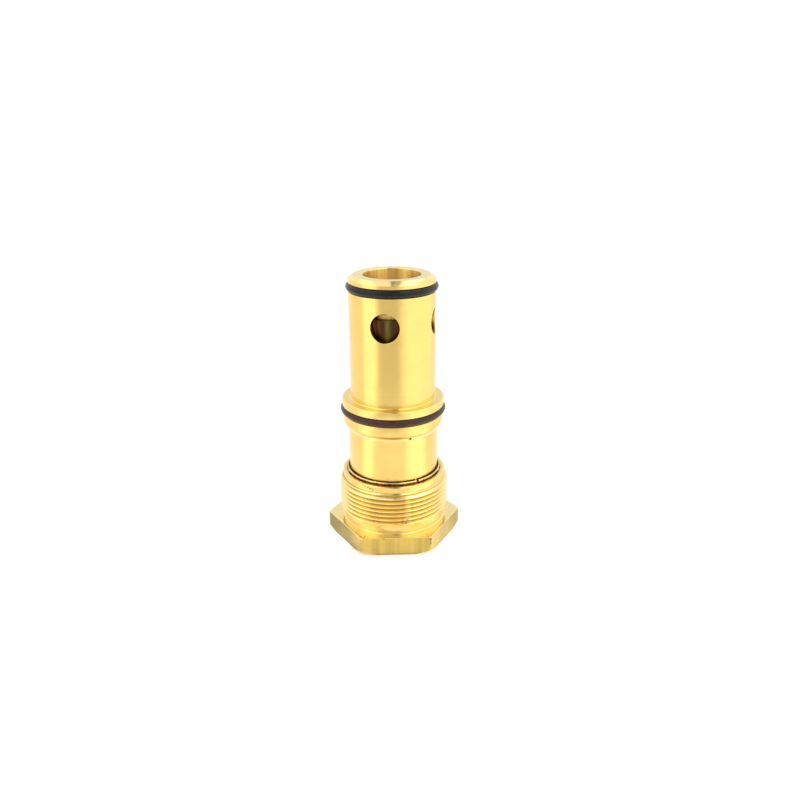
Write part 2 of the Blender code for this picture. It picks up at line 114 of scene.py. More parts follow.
def corner_arc(here, back, ahead, radius):
    """Points of the arc of `radius` that touches both sides of a corner."""
    turn = math.pi - back.angle(ahead)
    if turn < math.radians(STRAIGHT):
        return [tuple(here)]
    centre = here + (back + ahead).normalized() * radius / math.cos(turn / 2)
    start = here + back * radius * math.tan(turn / 2) - centre
    steps = max(2, math.ceil(turn / math.radians(ARC_STEP)))
    side = 1 if back.y * ahead.x - back.x * ahead.y > 0 else -1
    arc = []
    for step in range(steps + 1):
        angle = side * turn * step / steps
        arc.append((centre.x + start.x * math.cos(angle) - start.y * math.sin(angle),
                    centre.y + start.x * math.sin(angle) + start.y * math.cos(angle)))
    return arc


def stepped(start, end, steps):
    """Points between two ends of a straight side, without the ends."""
    return [(start[0] + (end[0] - start[0]) * step / steps,
             start[1] + (end[1] - start[1]) * step / steps) for step in range(1, steps)]


def flat_section(inner, outer, extent, inner_round, outer_round):
    """The square section of a ring as high as a CAD node."""
    return rounded([(inner, extent.bottom, inner_round), (outer, extent.bottom, outer_round),
                    (outer, extent.top, outer_round), (inner, extent.top, inner_round)])


def round_section(radius, height, wire):
    """The round section of a ring, `radius` being its centre line."""
    turns = [math.tau * (side + 0.5) / WIRE_SIDES for side in range(WIRE_SIDES)]
    return [(radius + wire / 2 * math.cos(turn), height + wire / 2 * math.sin(turn))
            for turn in turns]


# ---------------------------------------------------------------- meshes

def finish_piece(name, mesh_data, materials, body, *nodes):
    """Makes an object. One with a body rides on it and stands for CAD nodes."""
    bmesh.ops.remove_doubles(mesh_data, verts=mesh_data.verts, dist=SAME_SPOT)
    bmesh.ops.recalc_face_normals(mesh_data, faces=mesh_data.faces)
    mesh = bpy.data.meshes.new(name)
    mesh_data.to_mesh(mesh)
    mesh_data.free()
    for material in materials:
        mesh.materials.append(material)
    mesh.shade_smooth()
    mesh.set_sharp_from_angle(angle=math.radians(SHARP_ANGLE))
    piece = bpy.data.objects.new(name, mesh)
    bpy.context.scene.collection.objects.link(piece)
    if body:
        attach(piece, body)
        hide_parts(*nodes)
    return piece


def weigh_normals(piece):
    """Keeps long faces flat beside small round edges."""
    modifier = piece.modifiers.new("even_shading", "WEIGHTED_NORMAL")
    modifier.keep_sharp = True


def settle(piece):
    """Replaces a piece's mesh by what its modifiers make of it."""
    graph = bpy.context.evaluated_depsgraph_get()
    mesh = bpy.data.meshes.new_from_object(piece.evaluated_get(graph))
    piece.modifiers.clear()
    piece.data = mesh


def cut(piece, tools, operation="DIFFERENCE"):
    """Cuts a piece with tools, which are removed afterwards."""
    for tool in tools:
        modifier = piece.modifiers.new(tool.name, "BOOLEAN")
        modifier.operation = operation
        modifier.object = tool
    settle(piece)
    for tool in tools:
        bpy.data.objects.remove(tool)


def spot(mesh_data, radius, angle, height):
    """A new point of the mesh, at an angle from +X in radians."""
    return mesh_data.verts.new((radius * math.cos(angle) * MM, radius * math.sin(angle) * MM,
                                height * MM))


def ring(mesh_data, radius, height, angles):
    return [spot(mesh_data, radius, angle, height) for angle in angles]


def even_angles(count):
    return [math.tau * index / count for index in range(count)]


def bridge(mesh_data, lower, upper):
    """Faces between two rings of the same length, or a ring and one point."""
    count = max(len(lower), len(upper))
    faces = []
    for index in range(count):
        corners = [lower[index % len(lower)], lower[(index + 1) % len(lower)],
                   upper[(index + 1) % len(upper)], upper[index % len(upper)]]
        face = [corner for place, corner in enumerate(corners) if corner not in corners[:place]]
        faces.append(mesh_data.faces.new(face))
    return faces


def join(mesh_data, rings):
    """Faces between the rings in turn, and a face across the first and the last one."""
    for near, far in zip(rings, rings[1:]):
        bridge(mesh_data, near, far)
    mesh_data.faces.new(rings[0])
    mesh_data.faces.new(rings[-1])


def turned(name, outline, segments, materials, body, *nodes, closed=True):
    """A turned piece. An open outline starts and ends on the axis."""
    mesh_data = bmesh.new()
    rings = []
    for radius, height in outline:
        if radius < ON_AXIS:
            rings.append([mesh_data.verts.new((0, 0, height * MM))])
        else:
            rings.append(ring(mesh_data, radius, height, even_angles(segments)))
    for lower, upper in zip(rings, rings[1:]):
        bridge(mesh_data, lower, upper)
    if closed:
        bridge(mesh_data, rings[-1], rings[0])
    return finish_piece(name, mesh_data, materials, body, *nodes)


def split_ring(name, outline, opening, middle, materials, body, *nodes):
    """A ring with a gap of `opening` degrees, whose middle is turned from -Y towards +X."""
    mesh_data = bmesh.new()
    sections = []
    for step in range(TURNED_SEGMENTS + 1):
        share = step / TURNED_SEGMENTS
        angle = math.radians(middle - 90 + opening / 2 + (360 - opening) * share)
        sections.append([spot(mesh_data, radius, angle, height) for radius, height in outline])
    join(mesh_data, sections)
    return finish_piece(name, mesh_data, materials, body, *nodes)


def prism(name, corner_radius, bottom, top, sides, turn=0):
    """A cutter with straight sides."""
    mesh_data = bmesh.new()
    angles = [math.radians(turn) + angle for angle in even_angles(sides)]
    join(mesh_data, [ring(mesh_data, corner_radius, height, angles) for height in (bottom, top)])
    return finish_piece(name, mesh_data, [], None)


def coil(name, radius, extent, wire, turns, body, node):
    """A compression spring with closed, ground ends."""
    steps = round(turns * COIL_STEPS)
    low = extent.bottom + wire * GROUND_OFF
    high = extent.top - wire * GROUND_OFF
    end_rise = wire * END_RISE
    open_turns = turns - 2
    open_rise = (high - low - 2 * end_rise) / open_turns
    mesh_data = bmesh.new()
    rings = []
    for step in range(steps + 1):
        turn = turns * step / steps
        climb = min(turn, 1) * end_rise
        climb += min(max(turn - 1, 0), open_turns) * open_rise
        climb += max(turn - 1 - open_turns, 0) * end_rise
        angle = math.tau * turn
        section = []
        for around in even_angles(COIL_SIDES):
            reach = radius + wire / 2 * math.cos(around)
            height = low + climb + wire / 2 * math.sin(around)
            height = min(max(height, extent.bottom), extent.top)
            section.append(spot(mesh_data, reach, angle, height))
        rings.append(section)
    join(mesh_data, rings)
    return finish_piece(name, mesh_data, [spring_wire], body, node)


class Thread:
    """A right-hand external thread between a plain foot and a plain neck.

    The envelope starts from lead_radius at both ends and grows at 45 degrees.
    """

    CREST = 0.159               # share of the pitch
    ROOT = 0.133
    ROWS = 8                    # rows of points in each turn
    FIRST_ROOT = 0.04           # of the pitch above the bottom, at the start angle

    def __init__(self, radius, depth, pitch, bottom, top, lead_radius):
        self.radius, self.depth, self.pitch = radius, depth, pitch
        self.bottom, self.top, self.lead_radius = bottom, top, lead_radius
        self.turns = int((top - bottom) / pitch)

    def profile(self):
        """(share of the pitch, share of the depth) from one root to the next."""
        flank = (1 - self.CREST - self.ROOT) / 2
        root = self.ROOT / 2
        crest = root + flank
        return [(-root, 1.0), (root * 0.2, 1.03), (root, 1.0), (crest - flank * 0.12, 0.12),
                (crest, 0.02), (crest + self.CREST, 0.02),
                (crest + self.CREST + flank * 0.12, 0.12), (1 - root - flank * 0.06, 0.94)]

    def column(self, share):
        """The (radius, height) points at `share` of a turn from the start, from low to high."""
        points = []
        profile = self.profile()
        root_radius = self.radius - self.depth
        for row in range(self.turns * self.ROWS + 1):
            rise, depth = profile[row % self.ROWS]
            turn = row // self.ROWS + rise + share
            height = self.bottom + (self.FIRST_ROOT + turn) * self.pitch
            if height > self.top:
                height = self.top + (height - self.top) * 0.05
            fade = min(1, max(0, (turn - 0.5) / 0.3))
            tall = self.depth * (1 - depth) * fade
            envelope = self.lead_radius + max(0, min(self.top - height, height - self.bottom))
            points.append((min(root_radius + tall, envelope, self.radius), height))
        return points


def threaded(name, thread, upper, lower, angles, materials, body, node, side_rows=()):
    """A turned body with a real helical thread between two stretches of rows.

    `upper` runs down to the thread and `lower` runs down from it. A row is a point
    or a function of the angle. Both stretches start or end on the axis, or else
    they join. Faces that end on one of side_rows take the second material.
    """
    mesh_data = bmesh.new()

    def place(angle, point):
        return spot(mesh_data, point[0], angle, point[1])

    def make_row(row):
        if not callable(row) and row[0] < ON_AXIS:
            return [mesh_data.verts.new((0, 0, row[1] * MM))]
        return [place(angle, row(angle) if callable(row) else row) for angle in angles]

    upper_rings = [make_row(row) for row in upper]
    lower_rings = [make_row(row) for row in lower]
    columns = [[place(angle, point) for point in thread.column((angle - angles[0]) / math.tau)]
               for angle in angles]
    for near, far in zip(columns, columns[1:]):
        for row in range(len(near) - 1):
            mesh_data.faces.new((near[row], far[row], far[row + 1], near[row + 1]))
    first, last = columns[0], columns[-1]
    step = thread.ROWS
    for row in range(len(last) - 1 - step):
        mesh_data.faces.new((last[row], first[row + step], first[row + step + 1], last[row + 1]))
    neck, foot = upper_rings[-1], lower_rings[0]
    for index in range(len(angles) - 1):
        mesh_data.faces.new((foot[index], foot[index + 1],
                             columns[index + 1][0], columns[index][0]))
        mesh_data.faces.new((columns[index][-1], columns[index + 1][-1],
                             neck[index + 1], neck[index]))
    mesh_data.faces.new([foot[-1], foot[0]] + first[:step + 1] + [last[0]])
    mesh_data.faces.new([neck[0], neck[-1]] + last[-1 - step:][::-1] + [first[-1]])
    for rings, rows in ((upper_rings, upper), (lower_rings, lower)):
        for number in range(len(rings) - 1):
            faces = bridge(mesh_data, rings[number], rings[number + 1])
            if rows[number + 1] in side_rows:
                for face in faces:
                    face.material_index = 1
    if len(lower_rings[-1]) > 1:
        bridge(mesh_data, lower_rings[-1], upper_rings[0])
    return finish_piece(name, mesh_data, materials, body, node)


# ---------------------------------------------------------------- materials

class Nodes:
    """Short ways to add shader nodes to a material or a world."""

    def __init__(self, owner, coordinates):
        owner.use_nodes = True
        self.tree = owner.node_tree
        self.place = self.add("TexCoord").outputs[coordinates]
        self.x, self.y, self.z = self.parts(self.place)

    def add(self, kind):
        return self.tree.nodes.new("ShaderNode" + kind)

    def put(self, socket, value):
        """Links an output to a socket, or sets the socket to a value."""
        if isinstance(value, bpy.types.NodeSocket):
            self.tree.links.new(value, socket)
        else:
            socket.default_value = value

    def parts(self, vector):
        node = self.add("SeparateXYZ")
        self.put(node.inputs[0], vector)
        return node.outputs

    def math(self, operation, first, second=0.0):
        node = self.add("Math")
        node.operation = operation
        self.put(node.inputs[0], first)
        self.put(node.inputs[1], second)
        return node.outputs[0]

    def times(self, first, second):
        return self.math("MULTIPLY", first, second)

    def spread(self, value, low, high, to_low=0.0, to_high=1.0):
        """Maps a range of a value onto another, without passing its ends."""
        node = self.add("MapRange")
        for socket, number in zip(("Value", "From Min", "From Max", "To Min", "To Max"),
                                  (value, low, high, to_low, to_high)):
            self.put(node.inputs[socket], number)
        return node.outputs[0]

    def turn(self):
        """The direction from the axis, in radians from -Y towards +X."""
        return self.math("ARCTAN2", self.x, self.times(self.y, -1.0))

    def band(self, turn, centre, half_width, soft, amount):
        """`amount` inside a band of directions, in degrees, fading over `soft`."""
        away = self.math("WRAP", self.math("SUBTRACT", turn, math.radians(centre)), math.pi)
        away.node.inputs[2].default_value = -math.pi
        return self.spread(self.math("ABSOLUTE", away), math.radians(half_width - soft / 2),
                           math.radians(half_width + soft / 2), amount, 0.0)


class Graph(Nodes):
    """A Principled material."""

    def __init__(self, name, colour, metallic, roughness, **sockets):
        self.material = bpy.data.materials.new(name)
        super().__init__(self.material, "Object")
        self.shader = self.tree.nodes["Principled BSDF"]
        sockets.update(Base_Color=(*colour, 1), Metallic=metallic, Roughness=roughness)
        for socket, value in sockets.items():
            self.shader.inputs[socket.replace("_", " ")].default_value = value

    def radius(self):
        return self.math("SQRT", self.math("ADD", self.times(self.x, self.x),
                                           self.times(self.y, self.y)))

    def vector(self, x, y, z):
        node = self.add("CombineXYZ")
        for socket, value in zip(node.inputs, (x, y, z)):
            self.put(socket, value)
        return node.outputs[0]

    def stretched(self, x, y, z):
        """The object's coordinates, each times a number of repeats in a metre."""
        node = self.add("Mapping")
        self.put(node.inputs["Vector"], self.place)
        node.inputs["Scale"].default_value = (x, y, z)
        return node.outputs[0]

    def noise(self, vector, scale=1.0, detail=2.0, roughness=0.5):
        node = self.add("TexNoise")
        for socket, value in zip(("Vector", "Scale", "Detail", "Roughness"),
                                 (vector, scale, detail, roughness)):
            self.put(node.inputs[socket], value)
        return node.outputs[0]

    def step(self, value, middle, soft, to_low=0.0, to_high=1.0):
        """Changes around `middle` over a stretch of `soft`, both in millimetres."""
        return self.spread(value, (middle - soft / 2) * MM, (middle + soft / 2) * MM,
                           to_low, to_high)

    def tint(self, amount, colour, strength=None):
        """Blends the base colour towards another one; calls add up."""
        node = self.add("Mix")
        node.data_type = "RGBA"
        socket = self.shader.inputs["Base Color"]
        before = socket.links[0].from_socket if socket.is_linked else socket.default_value
        self.put(node.inputs[6], before)
        node.inputs[7].default_value = (*colour, 1)
        self.put(node.inputs[0], amount if strength is None else self.times(amount, strength))
        self.put(socket, node.outputs[2])

    def rough(self, value):
        self.put(self.shader.inputs["Roughness"], value)

    def bump(self, height, depth):
        """Relief of `depth` metres; calls add up."""
        node = self.add("Bump")
        node.inputs["Strength"].default_value = 1.0
        node.inputs["Distance"].default_value = depth
        self.put(node.inputs["Height"], height)
        socket = self.shader.inputs["Normal"]
        if socket.is_linked:
            self.put(node.inputs["Normal"], socket.links[0].from_socket)
        self.put(socket, node.outputs[0])

    def edges(self, low, high):
        """1 on outer edges and 0 elsewhere; with low above high, 1 in hollows."""
        return self.spread(self.add("NewGeometry").outputs["Pointiness"], low, high)

    def facing_up(self, low, high):
        """1 on faces that look upwards."""
        return self.spread(self.parts(self.add("NewGeometry").outputs["Normal"])[2], low, high)

    def near(self, place, reach):
        """1 at a place, fading to 0 at `reach` from it, both in millimetres."""
        node = self.add("VectorMath")
        node.operation = "DISTANCE"
        self.put(node.inputs[0], self.place)
        node.inputs[1].default_value = [part * MM for part in place]
        return self.spread(node.outputs["Value"], 0.6 * reach * MM, reach * MM, 1.0, 0.0)

    def around_axis(self):
        """Streaks the gloss across the turning marks, as a lathe's fine grooves do."""
        node = self.add("Tangent")
        node.direction_type = "RADIAL"
        node.axis = "Z"
        self.put(self.shader.inputs["Tangent"], node.outputs[0])


TAIL_RADIUS = 14.62
PORT_HEIGHT = 73.74
SEAT_HEIGHT = 79.5
VENT_HEIGHT = 38.6
VENT_TURN = 20.6                # degrees from -Y towards +X
THREAD_FOOT = 8.5               # painted shade in the thread starts here
RELIEF_TOP = 8.4                # painted light: paler brass below this
LAND_FOOT_LIGHT = (38.0, 38.95)       # painted light: paler brass where the lower land meets the tail
SHADE_RADIUS = 13.275             # painted shade inside this, below the seat: on the ports' walls and in the bore
SNAP_HIGHLIGHT_RADIUS = 15.30              # radius of the painted highlight line on the snap ring
BRASS = (0.90, 0.635, 0.19)
FRESH_BRASS = (0.97, 0.74, 0.29)
DULL_BRASS = (0.66, 0.45, 0.12)
# painted light: the paler brass of upward faces, the land's foot and the relief
PAINTED_LIGHT_BRASS = (0.98, 0.84, 0.46)
# dark of the nicks, and also painted shade in the thread roots and painted shadow along the
# hexagon's foot
GRIME_AND_SHADE = (0.16, 0.085, 0.03)
# painted shade in the ports, the bore and around the vent's mouth
PAINTED_SHADE = (0.07, 0.032, 0.012)


def turned_metal(name, colour, roughness, dull=DULL_BRASS, fresh=FRESH_BRASS, marks=1.0,
                 anisotropy=0.5, hollows=0.0, painted_top_light=0.0):
    """Metal off the lathe: rings of fine tool marks, faint stains and bright edges.

    `hollows` is how much painted shade lies in the thread. Faces that look up are glossier,
    and `painted_top_light` is how far they go towards a paler brass, a painted highlight.
    """
    graph = Graph(name, colour, 1.0, roughness, Anisotropic=anisotropy, Anisotropic_Rotation=0.25)
    run = graph.math("ADD", graph.z, graph.radius())
    angle = graph.math("ARCTAN2", graph.y, graph.x)
    fine = graph.noise(graph.vector(graph.times(angle, 0.35), graph.times(run, 9000), 0.0))
    broad = graph.noise(graph.vector(graph.times(angle, 0.6), graph.times(run, 1300), 3.0))
    stains = graph.noise(graph.place, 160, 4.0, 0.6)
    graph.tint(graph.spread(stains, 0.45, 0.8, 0.0, 0.30), dull)
    graph.tint(graph.spread(broad, 0.55, 0.8, 0.0, 0.08 * marks), dull)
    graph.tint(graph.edges(0.52, 0.60), fresh)
    # Painted shade: the thread is dulled above its foot and darkened in its roots.
    if hollows:
        in_thread = graph.step(graph.z, THREAD_FOOT, 0.6, 0.0, hollows)
        graph.tint(in_thread, DULL_BRASS, 0.25)
        graph.tint(graph.edges(0.498, 0.468), GRIME_AND_SHADE, in_thread)
    faced = graph.facing_up(0.6, 0.8)
    # Painted highlight: faces that look up turn towards a paler brass.
    graph.tint(faced, PAINTED_LIGHT_BRASS, painted_top_light)
    gloss = graph.math("ADD", graph.spread(fine, 0.3, 0.7, roughness - 0.03, roughness + 0.04),
                       graph.spread(stains, 0.4, 0.75, -0.01, 0.05))
    graph.rough(graph.math("SUBTRACT", gloss, graph.times(faced, roughness / 2)))
    graph.bump(fine, 0.000004 * marks)
    graph.bump(broad, 0.000003 * marks)
    graph.around_axis()
    return graph


def sleeve_metal():
    """The sleeve's brass, with painted shade in the ports, the bore and the vent's mouth, and
    painted light at the land's foot.
    """
    graph = turned_metal("turned_brass", BRASS, 0.20, anisotropy=0.7, painted_top_light=0.35)
    # Painted shade: the ports' walls and the bore below the seat go dark, least at the ports'
    # middle height.
    shaded_inside = graph.times(graph.step(graph.radius(), SHADE_RADIUS, 0.75, 1.0, 0.0),
                       graph.step(graph.z, SEAT_HEIGHT, 0.6, 1.0, 0.0))
    from_middle = graph.math("ABSOLUTE", graph.math("SUBTRACT", graph.z, PORT_HEIGHT * MM))
    graph.tint(shaded_inside, PAINTED_SHADE, graph.step(from_middle, 2.3, 2.2, 0.08, 0.94))
    # Painted light: a paler band where the lower land meets the tail.
    foot = graph.times(graph.step(graph.z, LAND_FOOT_LIGHT[0], 0.6),
                       graph.step(graph.z, LAND_FOOT_LIGHT[1], 0.7, 1.0, 0.0))
    graph.tint(foot, PAINTED_LIGHT_BRASS, 0.6)
    turn = math.radians(VENT_TURN)
    vent_mouth = (TAIL_RADIUS * math.sin(turn), -TAIL_RADIUS * math.cos(turn), VENT_HEIGHT)
    # Painted shade around the vent's mouth.
    graph.tint(graph.near(vent_mouth, 0.75), PAINTED_SHADE, 0.9)
    return graph.material


THREAD_NICKS = [                # place and size of each
    ((-9.9, -13.7, 22.4), 0.5), ((-9.2, -14.2, 22.2), 0.45), ((-8.4, -14.7, 22.1), 0.5),
    ((-7.6, -15.1, 21.9), 0.45), ((-6.8, -15.5, 21.8), 0.4), ((-4.2, -17.4, 20.2), 0.75),
    ((2.8, -17.7, 11.2), 0.8), ((4.3, -17.3, 11.3), 0.9), ((16.9, -10.2, 6.2), 0.9)]
HEXAGON_NICKS = [
    ((-3.4, -19.25, 6.1), 0.55), ((11.9, -18.8, 5.2), 0.7), ((11.9, -18.8, 3.9), 0.6),
    ((-21.9, 1.0, 4.4), 0.6), ((17.6, -9.6, 6.0), 0.7)]
PISTON_REFLECTION_STREAKS = [               # painted reflection streaks on the piston: middle in degrees from -Y towards +X, half width
    (-7, 7), (66, 5), (118, 6), (-155, 5), (-98, 7)]


def plug_metal():
    """The plug's brass, with painted shade in the thread, painted light on the relief, and nicks
    in the collar and thread.
    """
    graph = turned_metal("plug_brass", BRASS, 0.21, anisotropy=0.6, hollows=0.65, painted_top_light=0.5)
    # Painted light: paler brass on the relief and the hexagon's top.
    graph.tint(graph.step(graph.z, RELIEF_TOP, 0.6, 0.3, 0.0), PAINTED_LIGHT_BRASS)
    ragged = graph.spread(graph.noise(graph.place, 2600), 0.42, 0.58, 0.1, 0.85)
    for place, reach in THREAD_NICKS:
        graph.tint(graph.near(place, reach), GRIME_AND_SHADE, ragged)
    return graph.material


def bored_metal():
    """Brass off a boring bar, with painted reflection streaks down the bore."""
    graph = turned_metal("bored_brass", (0.98, 0.74, 0.24), 0.34, marks=2.0, anisotropy=0.9)
    turn = graph.math("ARCTAN2", graph.x, graph.y)
    # Painted reflection: darker, warmer streaks running down the bore.
    bore_reflection_streaks = graph.noise(graph.vector(graph.times(turn, 2.8), 0.0, graph.times(graph.z, 12.0)),
                          1.0, 2.0, 0.6)
    graph.tint(graph.spread(bore_reflection_streaks, 0.44, 0.60, 0.0, 0.75), (0.72, 0.38, 0.07))
    return graph.material


def piston_metal():
    """Near-black bronze, painted shade for the piston inside the ports, with painted reflection
    streaks.
    """
    # Painted shade: the piston's near-black colour stands in for the shade inside the ports.
    graph = turned_metal("piston_bronze", (0.085, 0.040, 0.016), 0.24, (0.03, 0.014, 0.007),
                         (0.40, 0.26, 0.11), marks=2.0, anisotropy=0.7)
    turn = graph.turn()
    patchy = graph.spread(graph.noise(graph.stretched(500, 500, 160)), 0.35, 0.6, 0.3, 0.9)
    # Painted reflection: paler streaks at the listed directions.
    for centre, half_width in PISTON_REFLECTION_STREAKS:
        streak = graph.band(turn, centre, half_width / 2, half_width, 1.0)
        graph.tint(streak, (0.28, 0.20, 0.045), patchy)
    return graph.material


def snap_ring_metal():
    """Wire in a groove: painted shade on both sides, and a painted highlight line along its crown.
    """
    graph = Graph("snap_wire", (0.95, 0.62, 0.25), 1.0, 0.24)
    smears = graph.noise(graph.place, 700, 3.0, 0.6)
    # Painted shade beside the groove and a painted highlight along the crown.
    away = graph.math("ABSOLUTE", graph.math("SUBTRACT", graph.radius(), SNAP_HIGHLIGHT_RADIUS * MM))
    away = graph.math("ADD", away, graph.spread(smears, 0.3, 0.7, -0.06 * MM, 0.06 * MM))
    graph.tint(graph.step(away, 0.16, 0.12), (0.035, 0.016, 0.008))
    graph.tint(graph.spread(smears, 0.58, 0.72, 0.0, 0.5), (0.30, 0.17, 0.06))
    graph.rough(graph.spread(smears, 0.3, 0.7, 0.18, 0.36))
    graph.bump(smears, 0.00001)
    return graph.material


def drawn_brass():
    """The bar's own skin on the hexagon's flats: streaks and dents, painted shade on its sides and
    a painted shadow at its foot.
    """
    graph = Graph("drawn_brass", (0.72, 0.51, 0.125), 1.0, 0.28, Anisotropic=0.35)
    streaks = graph.noise(graph.stretched(1500, 1500, 24), 1.0, 4.0, 0.65)
    bands = graph.noise(graph.stretched(330, 330, 8))
    dents = graph.noise(graph.place, 900, 1.0)
    graph.tint(graph.spread(bands, 0.42, 0.62, 0.0, 0.8), (0.52, 0.37, 0.095))
    graph.tint(graph.spread(streaks, 0.5, 0.72, 0.0, 0.6), (0.86, 0.66, 0.22))
    graph.tint(graph.edges(0.52, 0.60), (0.50, 0.34, 0.09))
    graph.tint(graph.spread(dents, 0.70, 0.78, 0.0, 0.5), (0.40, 0.28, 0.08))
    # Painted shade: the left flats darker, the right ones less so.
    graph.tint(graph.step(graph.x, -12.5, 4, 0.80, 0.0), (0.27, 0.21, 0.06))
    graph.tint(graph.step(graph.x, 14, 4, 0.0, 0.45), (0.34, 0.27, 0.10))
    # Painted shadow: a dark line along the foot.
    graph.tint(graph.step(graph.z, 0.4, 0.6, 0.8, 0.0), GRIME_AND_SHADE)
    for place, reach in HEXAGON_NICKS:
        nick = graph.near(place, reach)
        graph.tint(nick, GRIME_AND_SHADE, 0.85)
        graph.bump(graph.math("SUBTRACT", 1.0, nick), 0.0002)
    graph.rough(graph.spread(streaks, 0.3, 0.75, 0.27, 0.42))
    graph.bump(streaks, 0.00002)
    graph.bump(dents, 0.00002)
    return graph.material


def moulded_rubber(name, colour, roughness, dust):
    """Moulded rubber with a fine grain and a trace of dust and oil."""
    graph = Graph(name, colour, 0.0, roughness, Specular_IOR_Level=0.28)
    grain = graph.noise(graph.place, 5200, 3.0, 0.6)
    smears = graph.noise(graph.place, 420, 3.0, 0.6)
    graph.tint(graph.spread(smears, 0.5, 0.8, 0.0, 0.5), dust)
    graph.rough(graph.spread(smears, 0.3, 0.7, roughness - 0.06, roughness + 0.1))
    graph.bump(grain, 0.000012)
    return graph.material


def slide_plastic():
    """Filled guide-ring plastic with a mottled surface."""
    graph = Graph("slide_plastic", (0.04, 0.15, 0.13), 0.0, 0.42)
    speckle = graph.noise(graph.place, 2600, 3.0, 0.7)
    graph.tint(graph.spread(speckle, 0.5, 0.72, 0.0, 0.6), (0.30, 0.21, 0.10))
    graph.rough(graph.spread(speckle, 0.3, 0.7, 0.36, 0.5))
    graph.bump(speckle, 0.00001)
    return graph.material


def wire_steel(name, colour, roughness):
    """Drawn steel wire or plated steel with fine scratches."""
    graph = Graph(name, colour, 1.0, roughness)
    scratches = graph.noise(graph.stretched(900, 900, 3400), 1.0, 4.0, 0.7)
    tone = graph.noise(graph.place, 240, 3.0)
    graph.tint(graph.spread(tone, 0.4, 0.75, 0.0, 0.5), (0.36, 0.34, 0.32))
    graph.rough(graph.spread(scratches, 0.3, 0.7, roughness - 0.06, roughness + 0.1))
    graph.bump(scratches, 0.000008)
    return graph.material


turned_brass = sleeve_metal()
plug_brass = plug_metal()
bored_brass = bored_metal()
bar_brass = drawn_brass()
shaded_bronze = piston_metal()
black_rubber = moulded_rubber("black_rubber", (0.006, 0.006, 0.0065), 0.26, (0.014, 0.013, 0.013))
brown_rubber = moulded_rubber("brown_rubber", (0.050, 0.019, 0.013), 0.32, (0.085, 0.045, 0.032))
guide_plastic = slide_plastic()
snap_wire = snap_ring_metal()
spring_wire = wire_steel("spring_wire", (0.62, 0.60, 0.57), 0.26)
zinc_steel = wire_steel("zinc_steel", (0.70, 0.69, 0.66), 0.32)


# ---------------------------------------------------------------- the sleeve

SLEEVE = Extent("valve_sleeve")
NOSE_RING = Extent("nose_o_ring")
FLANGE_RING = Extent("flange_o_ring")
SNAP = Extent("snap_ring")
RETAINING = Extent("retaining_wire")
TUBE_RADIUS = 13.69
FLANGE_TOP = 48.15
LOWER_LAND_RADIUS = 16.2
NOSE_BORE_RADIUS = 9.02
NOSE_FACE_RADIUS = 12.0
NOSE_CHAMFER = 1.2
LOWER_LAND_BOTTOM = 40.0
TAIL_TOP = 38.35
VENT_RADIUS = 0.35
PISTON_BORE_RADIUS = 11.3
STOP_HEIGHT = 51.0
CHAMBER_RADIUS = 12.2
PORT_RADIUS = 4.47
PORT_ROWS = 14                  # short faces beside the ports keep edge wear near the edges
PORT_TURN = -9.94               # degrees from -Y towards +X
O_RING_SECTION = 2.5
O_RING_GROOVE = 2.7
O_RING_SIDES = 28
MOULD_FLASH = 0.025
NOSE_RING_RADIUS = 13.17        # to the middle of the section
FLANGE_RING_RADIUS = 15.79
SNAP_WIRE = 0.84
SNAP_RADIUS = 15.06
RETAINING_WIRE = 1.1
RETAINING_RADIUS = 14.77
CLEARANCE = 0.3


def middle(extent):
    return (extent.bottom + extent.top) / 2


def groove(height, width, floor, above, below, edge=0.10, foot=0.2):
    """A square groove with round edges, in an outline that runs downwards."""
    return [(above, height + width / 2, edge), (floor, height + width / 2, foot),
            (floor, height - width / 2, foot), (below, height - width / 2, edge)]


def sleeve_outline():
    """Down the sleeve's outside, then up its bore."""
    o_ring_floor = O_RING_SECTION / 2 + CLEARANCE
    snap_floor = SNAP_RADIUS - SNAP_WIRE / 2 - 0.1
    wire_floor = RETAINING_RADIUS - RETAINING_WIRE / 2 - CLEARANCE
    top, bottom = SLEEVE.top, SLEEVE.bottom
    return rounded([
        (NOSE_BORE_RADIUS + 0.2, top, 0.06), (NOSE_FACE_RADIUS, top, 0.12),
        (TUBE_RADIUS, top - NOSE_CHAMFER, 0.14),
        *groove(middle(NOSE_RING), O_RING_GROOVE, NOSE_RING_RADIUS - o_ring_floor,
                TUBE_RADIUS, TUBE_RADIUS),
        *stepped((TUBE_RADIUS, PORT_HEIGHT + PORT_RADIUS + 1),
                 (TUBE_RADIUS, PORT_HEIGHT - PORT_RADIUS - 1), PORT_ROWS),
        (TUBE_RADIUS, FLANGE_TOP, 0.35), (SLEEVE.radius, FLANGE_TOP, 0.30),
        *groove(middle(FLANGE_RING), O_RING_GROOVE, FLANGE_RING_RADIUS - o_ring_floor,
                SLEEVE.radius, LOWER_LAND_RADIUS),
        (LOWER_LAND_RADIUS, LOWER_LAND_BOTTOM, 1.2), (TAIL_RADIUS, TAIL_TOP, 3.2),
        *groove(middle(SNAP), SNAP_WIRE + 0.2, snap_floor, TAIL_RADIUS, TAIL_RADIUS, 0.02, 0.02),
        *groove(middle(RETAINING), RETAINING_WIRE + 2 * CLEARANCE, wire_floor,
                TAIL_RADIUS, TAIL_RADIUS),
        (TAIL_RADIUS, bottom + 0.6, 0.15), (TAIL_RADIUS - 0.6, bottom, 0.1),
        (CHAMBER_RADIUS + 0.4, bottom, 0.1), (CHAMBER_RADIUS, bottom + 0.7, 0.1),
        (CHAMBER_RADIUS, STOP_HEIGHT, 0.2), (PISTON_BORE_RADIUS, STOP_HEIGHT, 0.15),
        (PISTON_BORE_RADIUS, SEAT_HEIGHT, 0.2), (NOSE_BORE_RADIUS, SEAT_HEIGHT, 0.12),
        (NOSE_BORE_RADIUS, top - 0.2, 0.06)])


